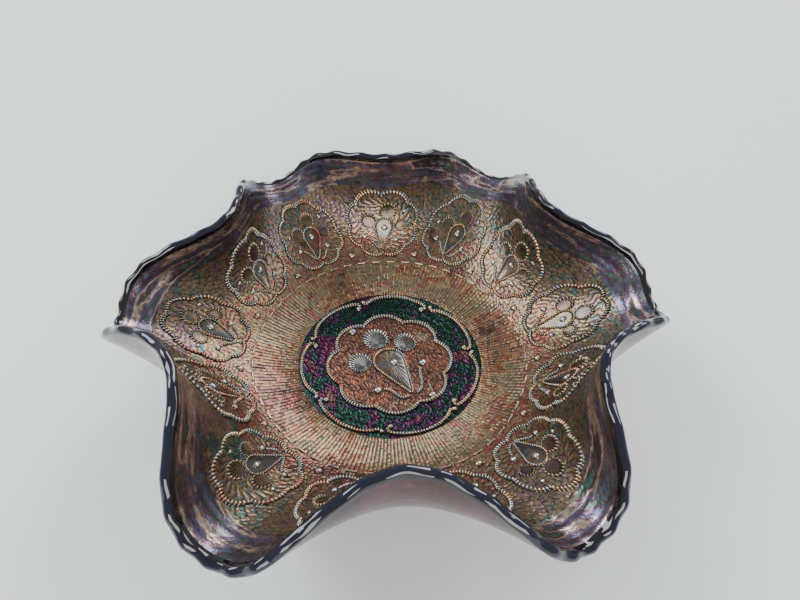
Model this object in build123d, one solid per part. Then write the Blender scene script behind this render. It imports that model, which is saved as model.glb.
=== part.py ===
from build123d import *
import os
from math import cos, hypot, pi, radians, sin

os.makedirs("parts", exist_ok=True)

# A ruffled bowl of pressed glass. Millimetres, +Z up, origin at the middle of the foot's
# ground contact. +X is to the right of a person who faces the bowl and looks along +Y.

# ---------------------------------------------------------------- ruffled rim
RUFFLES = 6
RUFFLE_PITCH = 2 * pi / RUFFLES
FIRST_LOBE = radians(5.4)
# Furthest reach and height of the outer edge at each lobe, anticlockwise from +X.
LOBE_REACHES = (108.9, 115.9, 107.6, 108.9, 115.3, 113.2)
LOBE_HEIGHTS = (38.4, 31.5, 35.0, 34.8, 41.0, 35.4)
# The same at each fold, where the edge is drawn in and up, half a pitch further on.
FOLD_REACHES = (84.2, 80.6, 80.9, 87.3, 83.4, 83.6)
FOLD_HEIGHTS = (58.9, 61.0, 56.6, 68.0, 61.1, 60.5)
SHOULDER_REACH = 3.3
SHOULDER_HEIGHT = 1.5
SIDEWAYS_DRAW = 5.6
SIDEWAYS_DRAW_DOUBLE = 2.1
RUFFLE_START = 3.3
EDGE_SCALLOPS = 12 * RUFFLES
EDGE_SCALLOP_DEPTH = 0.5
LOOP_SPANS = 4

# ---------------------------------------------------------------- section of the glass
FOOT_INNER_RADIUS = 30.5
FOOT_OUTER_RADIUS = 36.0
FOOT_HEIGHT = 4.5
FOOT_FLARE = 0.8
RECESS_DEPTH = 3.0
WELL_RADIUS = 40.0
FLOOR_THICKNESS = 4.4
FLOOR_DISH = 3.0
FLOOR_STEPS = 8
WALL_KNEE = (74.0, 7.4)
RIM_THICKNESS = 3.6
PLAIN_START = 0.8
RIM_START = 0.95
LIP_BULGE = 1.5

# ---------------------------------------------------------------- moulded ornament
MEDALLIONS = 13
MEDALLION_PITCH = 2 * pi / MEDALLIONS
FIRST_MEDALLION = radians(95.9)
MEDALLION_MIDDLE = 0.585
MEDALLION_STRETCH = 1.15
MEDALLION_RADIUS = 16.2
MEDALLION_NOTCH = 1.6
OUTLINE_LOBES = 8
ROPE_HALF_WIDTH = 0.8
ROPE_HEIGHT = 0.8
DROP_TIP_RADIUS = 0.9
RIBS_PER_MEDALLION = 16
RIB_INNER, RIB_OUTER = 0.045, 0.27
RIB_WIDTH = 0.9
RIB_HEIGHT = 0.4
RIB_CROWN = 0.6
RIB_SECTIONS = 6
DASHES_PER_MEDALLION = 4
DASH_MIDDLE = 0.3
DASH_LENGTH = 4.6
STAR_MIDDLE = 0.37
SCROLLS = 7
SCROLL_RADIUS = 37.0
CARTOUCHE_RADIUS = 27.0
CARTOUCHE_NOTCH = 3.4


# ================================================================ the glass surface
def around(values, angle, first):
    """Blend one value per ruffle, so that each one rules at its own lobe or fold."""
    total = 0.0
    for index, value in enumerate(values):
        turn = (angle - first - index * RUFFLE_PITCH + pi) % (2 * pi) - pi
        if abs(turn) < RUFFLE_PITCH:
            total += value * cos(turn * pi / 2 / RUFFLE_PITCH) ** 2
    return total


def mean(values):
    """Average of the values."""
    return sum(values) / len(values)


PLAIN_REACH = (mean(LOBE_REACHES) + mean(FOLD_REACHES)) / 2 + SHOULDER_REACH
PLAIN_HEIGHT = (mean(LOBE_HEIGHTS) + mean(FOLD_HEIGHTS)) / 2 + SHOULDER_HEIGHT


def plain_section(rise):
    """Radius and height of the underside before ruffling, from the well (0) to the edge (1)."""
    start, knee, end = (1 - rise) ** 2, 2 * rise * (1 - rise), rise**2
    radius = start * WELL_RADIUS + knee * WALL_KNEE[0] + end * PLAIN_REACH
    height = start * FOOT_HEIGHT + knee * WALL_KNEE[1] + end * PLAIN_HEIGHT
    return radius, height


def underside(rise, angle):
    """Point on the outside of the bowl."""
    ruffle = RUFFLES * (angle - FIRST_LOBE)
    lobe = (1 + cos(ruffle)) / 2
    half_pitch = RUFFLE_PITCH / 2
    between = cos(2 * ruffle) - 1
    reach = lobe * around(LOBE_REACHES, angle, FIRST_LOBE)
    reach += (1 - lobe) * around(FOLD_REACHES, angle, FIRST_LOBE + half_pitch)
    reach -= SHOULDER_REACH * between
    height = lobe * around(LOBE_HEIGHTS, angle, FIRST_LOBE)
    height += (1 - lobe) * around(FOLD_HEIGHTS, angle, FIRST_LOBE + half_pitch)
    height -= SHOULDER_HEIGHT * between
    draw = -SIDEWAYS_DRAW * sin(ruffle) + SIDEWAYS_DRAW_DOUBLE * sin(2 * ruffle)
    share = rise**RUFFLE_START
    radius, level = plain_section(rise)
    radius += share * (reach - PLAIN_REACH)
    level += share * (height - PLAIN_HEIGHT)
    turned = angle + share * draw / PLAIN_REACH
    return Vector(radius * cos(turned), radius * sin(turned), level)


def inward(rise, angle):
    """Unit normal of the glass, pointing into the bowl."""
    step = 1e-4
    along = underside(rise + step, angle) - underside(max(rise - step, 0), angle)
    across = underside(rise, angle + step) - underside(rise, angle - step)
    return along.cross(across).normalized()


def glass(rise, angle, depth):
    """Point in the glass: depth 0 is the outside, 1 the inside."""
    thickness = FLOOR_THICKNESS + (RIM_THICKNESS - FLOOR_THICKNESS) * rise
    return underside(rise, angle) + inward(rise, angle) * (thickness * depth)


def on_wall(rise, angle, lift):
    """Point raised by lift above the inside of the wall."""
    return glass(rise, angle, 1) + inward(rise, angle) * lift


WALL_LENGTH = sum(
    hypot(
        plain_section((step + 1) / 20)[0] - plain_section(step / 20)[0],
        plain_section((step + 1) / 20)[1] - plain_section(step / 20)[1],
    )
    for step in range(20)
)
FLOOR_TOP = glass(0, 0, 1).Z
FLOOR_RADIUS = hypot(glass(0, 0, 1).X, glass(0, 0, 1).Y)


# ================================================================ ways to build a solid
def loop(points):
    """Smooth closed wire through the points, in equal spans that run on into each other."""
    count = len(points)
    run = count // LOOP_SPANS
    step = 1 / run
    edges = []
    for span in range(LOOP_SPANS):
        first = span * run
        inside = [points[(first + index) % count] for index in range(run + 1)]
        tangents = []
        for end in (first, first + run):
            tangents.append((points[(end + 1) % count] - points[(end - 1) % count]) / (2 * step))
        spacing = [index * step for index in range(run + 1)]
        edges.append(Edge.make_spline(inside, tangents=tangents, parameters=spacing, scale=False))
    return Wire(edges)


def closed_solid(skin, *seams):
    """Solid inside a smooth skin of loops, with straight strips that close it."""
    faces = Shell.make_loft(skin).faces()
    for seam in seams:
        faces += Shell.make_loft(seam, True).faces()
    return Solid(Shell(faces))


def glass_loop(rise, depth, count, lip=0.0):
    """Closed wire around the bowl inside the glass, moved outwards by lip along the wall."""
    points = []
    for index in range(count):
        angle = 2 * pi * index / count
        point = glass(rise, angle, depth)
        if lip:
            scallop = EDGE_SCALLOP_DEPTH * cos(EDGE_SCALLOPS * angle)
            along = (glass(1, angle, 0.5) - glass(0.99, angle, 0.5)).normalized()
            point += along * (lip + scallop * lip / LIP_BULGE)
        points.append(point)
    return loop(points)


def raised_rope(place, outlines, height):
    """Closed rope on the glass, from the outlines of its outer foot, crest and inner foot."""
    rings = []
    for outline, lift in zip(outlines, (0, height, 0)):
        rings.append(loop([place(x, y, lift) for x, y in outline]))
    return closed_solid(rings, [rings[2], rings[0]])


def raised_dome(place, outline, middle, height):
    """Low dome on the glass, with its foot on an outline around its middle."""
    foot = loop([place(x, y, 0) for x, y in outline])
    shoulder = []
    for x, y in outline:
        inner = (middle[0] + 0.7 * (x - middle[0]), middle[1] + 0.7 * (y - middle[1]))
        shoulder.append(place(*inner, 0.7 * height))
    top = Vertex(*place(*middle, height))
    base = Vertex(*place(*middle, 0))
    return closed_solid([foot, loop(shoulder), top], [foot, base])


def raised_cord(place, route, width, height):
    """Cord of half-round section that stands on the glass along an open route."""
    sections = []
    last = len(route) - 1
    for index, (x, y) in enumerate(route):
        before, after = route[max(index - 1, 0)], route[min(index + 1, last)]
        run = (after[0] - before[0], after[1] - before[1])
        length = hypot(*run)
        side = (-run[1] / length * width / 2, run[0] / length * width / 2)
        left = place(x + side[0], y + side[1], 0)
        right = place(x - side[0], y - side[1], 0)
        crest = place(x, y, height)
        arc = Edge.make_three_point_arc(right, crest, left)
        sections.append(Wire([Edge.make_line(left, right), arc]))
    return Solid.make_loft(sections)


def raised_rib(heading):
    """Straight flat-topped rib that runs up the wall at one heading."""
    sections = []
    for step in range(RIB_SECTIONS + 1):
        rise = RIB_INNER + (RIB_OUTER - RIB_INNER) * step / RIB_SECTIONS
        foot, up = on_wall(rise, heading, 0), inward(rise, heading)
        side = Vector(-sin(heading), cos(heading), 0) * (RIB_WIDTH / 2)
        crown, crest = side * RIB_CROWN, up * RIB_HEIGHT
        corners = (foot - side, foot - crown + crest, foot + crown + crest, foot + side)
        sections.append(Wire.make_polygon(corners))
    return Solid.make_loft(sections, True)


# ================================================================ outlines and places
def lobed_outline(radius, notch, lobes, turn=0.0, count=96):
    """Closed outline of round lobes that meet in notches."""
    points = []
    for index in range(count):
        angle = 2 * pi * index / count
        bulge = abs(cos(lobes * (angle - turn) / 2)) ** 0.8
        reach = radius - notch * (1 - bulge)
        points.append((reach * cos(angle), reach * sin(angle)))
    return points


def disc_outline(middle, radius, count=12):
    """Closed outline of a disc."""
    points = []
    for index in range(count):
        angle = 2 * pi * index / count
        points.append((middle[0] + radius * cos(angle), middle[1] + radius * sin(angle)))
    return points


def drop_outline(tip, middle, radius, grow, count=44):
    """Teardrop with its point at tip and its round end around middle, grown on all sides."""
    ends = Edge.make_circle(radius + grow, Plane(middle))
    point = Edge.make_circle(DROP_TIP_RADIUS + grow, Plane(tip))
    border = make_hull([ends, point]).face().outer_wire()
    spots = [border @ (index / count) for index in range(count)]
    return [(spot.X, spot.Y) for spot in spots]


def wall_place(heading, middle, stretch=1.0):
    """Flat drawing wrapped on the wall: x across, y up the wall from the rise in its middle."""

    def place(x, y, lift):
        rise = middle + stretch * y / WALL_LENGTH
        return on_wall(rise, heading - x / plain_section(rise)[0], lift)

    return place


def medallion_place(index):
    """Drawing surface of medallion number index, a little taller than it is wide."""
    heading = FIRST_MEDALLION + index * MEDALLION_PITCH
    return wall_place(heading, MEDALLION_MIDDLE, MEDALLION_STRETCH)


def moved(place, x0, y0):
    """The same drawing surface with its zero moved to x0, y0."""
    return lambda x, y, lift: place(x0 + x, y0 + y, lift)


def on_floor(x, y, lift):
    """Flat drawing on the dished floor of the well."""
    sink = FLOOR_DISH * (1 - (hypot(x, y) / FLOOR_RADIUS) ** 2)
    return Vector(x, y, FLOOR_TOP - sink + lift)


def beads(place, spots, height):
    """Round beads; each spot is its x, y and radius."""
    return [raised_dome(place, disc_outline((x, y), r), (x, y), height) for x, y, r in spots]


def petals(place, spots, height):
    """Feathered petals: wide low domes with a notched edge."""
    made = []
    for x, y, radius in spots:
        edge = lobed_outline(radius, 0.08 * radius, 12, count=48)
        made.append(raised_dome(moved(place, x, y), edge, (0, 0), height))
    return made


def drop_ring(place, tip, middle, radius, half_width, height):
    """Roped outline of a teardrop."""
    outlines = [drop_outline(tip, middle, radius, grow) for grow in (half_width, 0, -half_width)]
    return raised_rope(place, outlines, height)


def lobed_ring(place, radius, notch, turn):
    """Roped outline with eight round lobes."""
    outlines = []
    for grow in (ROPE_HALF_WIDTH, 0, -ROPE_HALF_WIDTH):
        outlines.append(lobed_outline(radius + grow, notch, OUTLINE_LOBES, turn))
    return raised_rope(place, outlines, ROPE_HEIGHT)


# ================================================================ the glass itself
def make_foot_ring():
    """Ground collar that the bowl stands on, wider where it meets the well."""
    profile = Polyline(
        (FOOT_INNER_RADIUS, 0), (FOOT_OUTER_RADIUS, 0),
        (FOOT_OUTER_RADIUS + FOOT_FLARE, FOOT_HEIGHT),
        (FOOT_INNER_RADIUS - FOOT_FLARE, FOOT_HEIGHT), close=True)
    return revolve(Plane.XZ * make_face(profile), Axis.Z)


def make_well_floor():
    """Floor of the well: dished around a small flat, and sunk into the foot ring underneath."""
    ring = FOOT_INNER_RADIUS - FOOT_FLARE
    slant = FOOT_INNER_RADIUS - FOOT_FLARE * RECESS_DEPTH / FOOT_HEIGHT
    flat = FLOOR_RADIUS / FLOOR_STEPS
    corners = [(0, RECESS_DEPTH), (slant, RECESS_DEPTH), (ring, FOOT_HEIGHT), (WELL_RADIUS, FOOT_HEIGHT)]
    for step in range(FLOOR_STEPS + 1):
        radius = FLOOR_RADIUS * (1 - step / FLOOR_STEPS)
        corners.append((radius, on_floor(max(radius, flat), 0, 0).Z))
    return revolve(Plane.XZ * make_face(Polyline(*corners, close=True)), Axis.Z)


def wall_ring(low, high, spans):
    """Closed ring of the wall between two rises."""
    rises = [low + (high - low) * step / spans for step in range(spans + 1)]
    outside = [glass_loop(rise, 0, 96) for rise in rises]
    inside = [glass_loop(rise, 1, 96) for rise in rises]
    faces = Shell.make_loft(outside).faces() + Shell.make_loft(inside).faces()
    faces += Shell.make_loft([outside[0], inside[0]], True).faces()
    faces += Shell.make_loft([outside[-1], inside[-1]], True).faces()
    return Solid(Shell(faces))


def make_bowl_wall():
    """Wall that carries the medallions, from the well up."""
    return wall_ring(0, PLAIN_START, 8)


def make_ruffled_wall():
    """Plain upper wall, where the ruffles are deepest, up to the lip."""
    return wall_ring(PLAIN_START, RIM_START, 3)


def make_rim_edge():
    """Thick rounded lip with shallow scallops."""
    count = 8 * EDGE_SCALLOPS
    skin = [glass_loop(RIM_START, 0, count), glass_loop(0.985, 0, count)]
    for depth, share in ((0.14, 0.6), (0.5, 1.0), (0.86, 0.6)):
        skin.append(glass_loop(0.99, depth, count, lip=share * LIP_BULGE))
    skin += [glass_loop(0.985, 1, count), glass_loop(RIM_START, 1, count)]
    return closed_solid(skin, [skin[-1], skin[0]])


# ================================================================ ornament on the wall
def make_threaded_band():
    """Fine ribs that run up the wall from the well."""
    ribs = []
    for index in range(RIBS_PER_MEDALLION * MEDALLIONS):
        heading = FIRST_MEDALLION + index * MEDALLION_PITCH / RIBS_PER_MEDALLION
        ribs.append(raised_rib(heading))
    return ribs


def make_dash_marks():
    """Short bars around the top of the threaded band, four to a medallion."""
    dashes = []
    for index in range(DASHES_PER_MEDALLION * MEDALLIONS):
        heading = FIRST_MEDALLION + (index + 0.5) * MEDALLION_PITCH / DASHES_PER_MEDALLION
        route = [(DASH_LENGTH * (step / 3 - 0.5), 0) for step in range(4)]
        dashes.append(raised_cord(wall_place(heading, DASH_MIDDLE), route, 1.3, 0.6))
    return dashes


def make_medallion_outlines():
    """Roped lobed frame of every medallion."""
    return [lobed_ring(medallion_place(index), MEDALLION_RADIUS, MEDALLION_NOTCH, pi / 8)
            for index in range(MEDALLIONS)]


def on_every_medallion(make):
    """Run a maker on each medallion and gather what it makes."""
    gathered = []
    for index in range(MEDALLIONS):
        gathered += make(medallion_place(index))
    return gathered


def make_medallion_paisleys():
    """Roped teardrop in every medallion."""
    return on_every_medallion(
        lambda place: [drop_ring(place, (-0.8, -10.4), (1.0, -0.4), 4.2, 0.5, 0.7)])


def make_medallion_petals():
    """Three petals around the round end of every teardrop."""
    spots = ((-5.9, 2.6, 3.6), (2.6, 7.4, 3.8), (8.6, 0.2, 3.0))
    return on_every_medallion(lambda place: petals(place, spots, 0.6))


def make_medallion_curls():
    """Two curls that leave the point of every teardrop."""
    left = ((-1.2, -12.2), (-3.6, -9.4), (-5.2, -7.0), (-7.0, -5.6))
    right = ((0.4, -12.2), (2.4, -11.6), (4.2, -9.8), (5.4, -8.0))
    return on_every_medallion(
        lambda place: [raised_cord(place, left, 1.3, 0.7), raised_cord(place, right, 1.3, 0.7)])


def make_medallion_beads():
    """Beads in every medallion, one of them inside the teardrop."""
    spots = ((-8.4, -5.2, 1.2), (6.4, -6.9, 1.2), (1.0, -0.6, 1.5), (-11.0, 2.2, 0.9),
             (9.6, 6.8, 0.9))
    return on_every_medallion(lambda place: beads(place, spots, 0.9))


def make_star_beads():
    """One bead in each gap between medallions."""
    made = []
    for index in range(MEDALLIONS):
        heading = FIRST_MEDALLION + (index + 0.5) * MEDALLION_PITCH
        made += beads(wall_place(heading, STAR_MIDDLE), ((0, 0, 1.6),), 0.9)
    return made


# ================================================================ ornament in the well
def make_scroll_ring():
    """Seven scrolls around the well, curled in at their ends."""
    scrolls = []
    pitch = 2 * pi / SCROLLS
    # Share of one pitch, and how far in from the ring's radius, along one scroll.
    bends = ((0.07, 3.4), (0.035, 2.2), (0.06, 0.6), (0.16, -0.2), (0.32, -0.9), (0.5, -1.2),
             (0.68, -0.9), (0.82, 0.1), (0.92, 1.5), (0.965, 0.6))
    for index in range(SCROLLS):
        start = radians(12) + index * pitch
        route = []
        for share, drop in bends:
            radius = SCROLL_RADIUS - drop
            angle = start + share * pitch
            route.append((radius * cos(angle), radius * sin(angle)))
        scrolls.append(raised_cord(on_floor, route, 1.8, 0.9))
    return scrolls


def make_centre_cartouche():
    """Roped lobed frame in the middle of the well."""
    return [lobed_ring(on_floor, CARTOUCHE_RADIUS, CARTOUCHE_NOTCH, radians(10.5))]


def make_centre_paisley():
    """Roped teardrop in the middle of the well."""
    return [drop_ring(on_floor, (9.6, -14.4), (-0.2, 1.2), 6.8, 0.6, 0.8)]


def make_centre_petals():
    """Three petals around the round end of the middle teardrop."""
    return petals(on_floor, ((-7.2, 13.4, 5.8), (6.4, 12.4, 5.2), (-13.2, -0.6, 5.2)), 0.7)


def make_centre_curls():
    """Two curls that leave the point of the middle teardrop."""
    left = ((9.4, -17.0), (6.0, -18.2), (3.2, -16.4), (0.4, -14.4), (-2.2, -14.2))
    right = ((12.0, -15.6), (13.9, -12.6), (14.0, -8.6), (13.2, -4.6), (13.4, -1.6))
    return [raised_cord(on_floor, left, 1.7, 0.8), raised_cord(on_floor, right, 1.7, 0.8)]


def make_centre_beads():
    """Beads inside the middle frame."""
    spots = ((-4.4, -14.9, 1.7), (14.2, 1.0, 1.7), (1.7, 0.6, 1.7), (-17.7, 16.2, 1.7),
             (18.4, -16.5, 1.7))
    return beads(on_floor, spots, 1.0)


# ================================================================ write every sub-part
MAKERS = {
    "foot_ring": make_foot_ring,
    "well_floor": make_well_floor,
    "bowl_wall": make_bowl_wall,
    "ruffled_wall": make_ruffled_wall,
    "rim_edge": make_rim_edge,
    "threaded_band": make_threaded_band,
    "dash_marks": make_dash_marks,
    "medallion_outlines": make_medallion_outlines,
    "medallion_paisleys": make_medallion_paisleys,
    "medallion_petals": make_medallion_petals,
    "medallion_curls": make_medallion_curls,
    "medallion_beads": make_medallion_beads,
    "star_beads": make_star_beads,
    "scroll_ring": make_scroll_ring,
    "centre_cartouche": make_centre_cartouche,
    "centre_paisley": make_centre_paisley,
    "centre_petals": make_centre_petals,
    "centre_curls": make_centre_curls,
    "centre_beads": make_centre_beads,
}

for name, maker in MAKERS.items():
    shape = maker()
    if isinstance(shape, list):
        shape = Compound(children=shape)
    shape.label = name
    export_step(shape, f"parts/{name}.step")
    size = shape.bounding_box().size
    print(f"{name}: {len(shape.solids())} solids, {shape.volume:.1f} mm3, "
          f"{size.X:.1f} x {size.Y:.1f} x {size.Z:.1f}")
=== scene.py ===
"""A ruffled bowl of pressed cobalt glass under an iridescent film, dressed around its CAD frame.

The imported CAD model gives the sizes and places. Every visible piece here is a denser copy of one
region of the glass, drawn flat as the mould maker cut it and then wrapped on the ruffled form.
"""

import logging
from collections.abc import Callable
from dataclasses import dataclass
from enum import Enum
from math import cos, pi, radians, sin, tau

import bpy
import numpy as np
from mathutils import Matrix, Vector


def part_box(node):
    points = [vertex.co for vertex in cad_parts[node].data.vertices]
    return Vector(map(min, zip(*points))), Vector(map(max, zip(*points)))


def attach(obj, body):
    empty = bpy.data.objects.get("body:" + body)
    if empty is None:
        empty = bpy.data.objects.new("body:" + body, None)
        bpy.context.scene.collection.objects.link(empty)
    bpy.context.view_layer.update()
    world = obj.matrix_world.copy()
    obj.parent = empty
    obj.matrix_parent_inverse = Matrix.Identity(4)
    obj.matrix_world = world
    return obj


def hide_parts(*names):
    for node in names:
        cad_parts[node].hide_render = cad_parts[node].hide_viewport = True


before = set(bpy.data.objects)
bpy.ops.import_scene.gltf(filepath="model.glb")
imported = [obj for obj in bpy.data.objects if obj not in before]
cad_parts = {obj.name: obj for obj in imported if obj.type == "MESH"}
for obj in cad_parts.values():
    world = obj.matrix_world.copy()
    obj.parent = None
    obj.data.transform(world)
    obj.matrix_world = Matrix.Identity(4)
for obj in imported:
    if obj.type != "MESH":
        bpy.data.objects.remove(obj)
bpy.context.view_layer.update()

log = logging.getLogger("ruffled_bowl")
logging.basicConfig(level=logging.INFO, format="%(asctime)s %(message)s")

MM = 0.001
Array = np.ndarray
Placer = Callable[[Array, Array, Array], Array]
Relief = Callable[[Array, Array], tuple[Array, Array]]
Spot = tuple[float, float, float]
Route = tuple[tuple[float, float], ...]


# ================================================================ the ruffled form
@dataclass(frozen=True)
class RuffledForm:
    """Shape of the glass in millimetres: a plain bowl whose edge is thrown into ruffles."""

    ruffles: int = 6
    first_lobe: float = radians(5.4)
    lobe_reaches: tuple[float, ...] = (108.9, 115.9, 107.6, 108.9, 115.3, 113.2)
    lobe_heights: tuple[float, ...] = (38.4, 31.5, 35.0, 34.8, 41.0, 35.4)
    fold_reaches: tuple[float, ...] = (84.2, 80.6, 80.9, 87.3, 83.4, 83.6)
    fold_heights: tuple[float, ...] = (58.9, 61.0, 56.6, 68.0, 61.1, 60.5)
    shoulder_reach: float = 3.3
    shoulder_height: float = 1.5
    sideways_draw: float = 5.6
    sideways_draw_double: float = 2.1
    ruffle_start: float = 3.3
    foot_height: float = 4.5
    well_radius: float = 40.0
    floor_thickness: float = 4.4
    floor_dish: float = 3.0
    recess_depth: float = 3.0
    knee: tuple[float, float] = (74.0, 7.4)
    rim_thickness: float = 3.6

    @property
    def plain_reach(self) -> float:
        """Radius of the edge before ruffling."""
        return (np.mean(self.lobe_reaches) + np.mean(self.fold_reaches)) / 2 + self.shoulder_reach

    @property
    def plain_height(self) -> float:
        """Height of the edge before ruffling."""
        return (np.mean(self.lobe_heights) + np.mean(self.fold_heights)) / 2 + self.shoulder_height

    def around(self, values: tuple[float, ...], angle: Array, first: float) -> Array:
        """Blend one value per ruffle around the bowl.

        Args:
            values: the value that rules at each ruffle.
            angle: angles around the bowl, in radians.
            first: the angle where the first value rules.

        Returns:
            The blended value at each angle.
        """
        pitch = tau / self.ruffles
        total = np.zeros_like(angle)
        for index, value in enumerate(values):
            turn = (angle - first - index * pitch + pi) % tau - pi
            share = np.cos(np.clip(turn / pitch, -1, 1) * pi / 2) ** 2
            total = total + value * share
        return total

    def section(self, rise: Array) -> tuple[Array, Array]:
        """Follow the underside before ruffling.

        Args:
            rise: rises up the wall, 0 at the well and 1 at the edge.

        Returns:
            The radius and the height at each rise.
        """
        start, knee, end = (1 - rise) ** 2, 2 * rise * (1 - rise), rise**2
        radius = start * self.well_radius + knee * self.knee[0] + end * self.plain_reach
        height = start * self.foot_height + knee * self.knee[1] + end * self.plain_height
        return radius, height

    def underside(self, rise: Array, angle: Array) -> Array:
        """Find points on the outside of the bowl.

        Args:
            rise: rises up the wall.
            angle: angles around the bowl.

        Returns:
            The points, with x, y, z last.
        """
        wave = self.ruffles * (angle - self.first_lobe)
        lobe = (1 + np.cos(wave)) / 2
        half = pi / self.ruffles
        between = np.cos(2 * wave) - 1
        reach = lobe * self.around(self.lobe_reaches, angle, self.first_lobe)
        reach = reach + (1 - lobe) * self.around(self.fold_reaches, angle, self.first_lobe + half)
        reach = reach - self.shoulder_reach * between
        height = lobe * self.around(self.lobe_heights, angle, self.first_lobe)
        height = height + (1 - lobe) * self.around(self.fold_heights, angle, self.first_lobe + half)
        height = height - self.shoulder_height * between
        draw = self.sideways_draw_double * np.sin(2 * wave) - self.sideways_draw * np.sin(wave)
        share = np.clip(rise, 0, None) ** self.ruffle_start
        radius, level = self.section(rise)
        radius = radius + share * (reach - self.plain_reach)
        level = level + share * (height - self.plain_height)
        turned = angle + share * draw / self.plain_reach
        return np.stack((radius * np.cos(turned), radius * np.sin(turned), level), axis=-1)

    def inward(self, rise: Array, angle: Array) -> Array:
        """Find the unit normals of the wall that point into the bowl.

        Args:
            rise: rises up the wall.
            angle: angles around the bowl.

        Returns:
            The normals, with x, y, z last.
        """
        step = 1e-4
        along = self.underside(rise + step, angle) - self.underside(rise - step, angle)
        across = self.underside(rise, angle + step) - self.underside(rise, angle - step)
        normal = np.cross(along, across)
        return normal / np.linalg.norm(normal, axis=-1, keepdims=True)

    def glass(self, rise: Array, angle: Array, depth: Array) -> Array:
        """Find points in the glass.

        Args:
            rise: rises up the wall.
            angle: angles around the bowl.
            depth: places through the glass, 0 outside and 1 inside.

        Returns:
            The points, with x, y, z last.
        """
        thickness = self.floor_thickness + (self.rim_thickness - self.floor_thickness) * rise
        return self.underside(rise, angle) + self.inward(rise, angle) * (thickness * depth)[..., None]

    def raised(self, rise: Array, angle: Array, lift: Array) -> Array:
        """Find points above the inside of the wall.

        Args:
            rise: rises up the wall.
            angle: angles around the bowl.
            lift: heights above the wall, in millimetres.

        Returns:
            The points, with x, y, z last.
        """
        zero = np.zeros_like(rise)
        return self.glass(rise, angle, zero + 1) + self.inward(rise, angle) * lift[..., None]

    @property
    def wall_length(self) -> float:
        """Length of the wall from the well to the edge, up its slope."""
        radius, height = self.section(np.linspace(0, 1, 21))
        return float(np.hypot(np.diff(radius), np.diff(height)).sum())

    @property
    def floor_top(self) -> float:
        """Height of the inside floor."""
        zero = np.zeros(1)
        return float(self.glass(zero, zero, zero + 1)[0, 2])

    @property
    def floor_radius(self) -> float:
        """Radius of the inside floor, where the wall starts."""
        zero = np.zeros(1)
        return float(self.glass(zero, zero, zero + 1)[0, 0])


FORM = RuffledForm()
MEDALLIONS = 13
MEDALLION_PITCH = tau / MEDALLIONS
FIRST_MEDALLION = radians(95.9)
MEDALLION_MIDDLE = 0.585
MEDALLION_STRETCH = 1.15
DASH_MIDDLE = 0.3
STAR_MIDDLE = 0.37
CARTOUCHE_RADIUS = 27.0
CARTOUCHE_NOTCH = 3.4
CARTOUCHE_TURN = radians(10.5)
RELIEF_SINK = 0.12


def wall_place(heading: float, middle: float, stretch: float = 1.0) -> Placer:
    """Find how a flat drawing is wrapped on the wall.

    Args:
        heading: angle around the bowl where x is 0.
        middle: rise up the wall where y is 0.
        stretch: how much the drawing is stretched up the wall.

    Returns:
        A function that takes x, y and lift to a point on the wall.
    """

    def place(x: Array, y: Array, lift: Array) -> Array:
        """Take a point of the drawing to the wall."""
        rise = middle + stretch * y / FORM.wall_length
        return FORM.raised(rise, heading - x / FORM.section(rise)[0], lift)

    return place


def medallion_places() -> list[Placer]:
    """Where each medallion is drawn, a little taller than it is wide."""
    headings = FIRST_MEDALLION + np.arange(MEDALLIONS) * MEDALLION_PITCH
    return [wall_place(heading, MEDALLION_MIDDLE, MEDALLION_STRETCH) for heading in headings]


def floor_place(x: Array, y: Array, lift: Array) -> Array:
    """Lay a flat drawing on the dished floor of the well.

    Args:
        x: places across the floor, in millimetres.
        y: places along it.
        lift: heights above it.

    Returns:
        The points on the floor.
    """
    sink = FORM.floor_dish * (1 - (np.hypot(x, y) / FORM.floor_radius) ** 2)
    return np.stack((x, y, FORM.floor_top - sink + lift), axis=-1)


def lobed_reach(angle: Array, radius: float, notch: float, lobes: int, turn: float) -> Array:
    """Measure from the middle to an outline of round lobes that meet in notches.

    Args:
        angle: angles around the outline.
        radius: reach of the lobes.
        notch: how far the notches come in.
        lobes: how many lobes there are.
        turn: angle of the first lobe.

    Returns:
        The reach at each angle.
    """
    return radius - notch * (1 - np.abs(np.cos(lobes * (angle - turn) / 2)) ** 0.8)


# ================================================================ outlines and patterns
def lobed_outline(radius: float, notch: float, lobes: int, turn: float, count: int) -> Array:
    """Draw a closed outline of round lobes that meet in notches.

    Args:
        radius: reach of the lobes.
        notch: how far the notches come in.
        lobes: how many lobes there are.
        turn: angle of the first lobe.
        count: how many points it gets.

    Returns:
        The outline's points.
    """
    angle = np.arange(count) * tau / count
    reach = lobed_reach(angle, radius, notch, lobes, turn)
    return evenly(np.stack((reach * np.cos(angle), reach * np.sin(angle)), axis=-1), count, True)


def drop_outline(tip: Spot, end: Spot, count: int) -> Array:
    """Draw a closed teardrop around two circles.

    Args:
        tip: the small circle, as x, y and radius.
        end: the large circle, as x, y and radius.
        count: how many points it gets.

    Returns:
        The outline's points.
    """
    reach = np.array(tip[:2]) - np.array(end[:2])
    length = float(np.hypot(*reach))
    heading = float(np.arctan2(reach[1], reach[0]))
    lean = float(np.arccos((end[2] - tip[2]) / length))
    big = np.linspace(heading + lean, heading + tau - lean, count)
    small = np.linspace(heading - lean, heading + lean, count // 3)
    points = [(end[0] + end[2] * np.cos(big), end[1] + end[2] * np.sin(big))]
    points.append((tip[0] + tip[2] * np.cos(small), tip[1] + tip[2] * np.sin(small)))
    return evenly(np.concatenate([np.stack(pair, axis=-1) for pair in points]), count, True)


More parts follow.
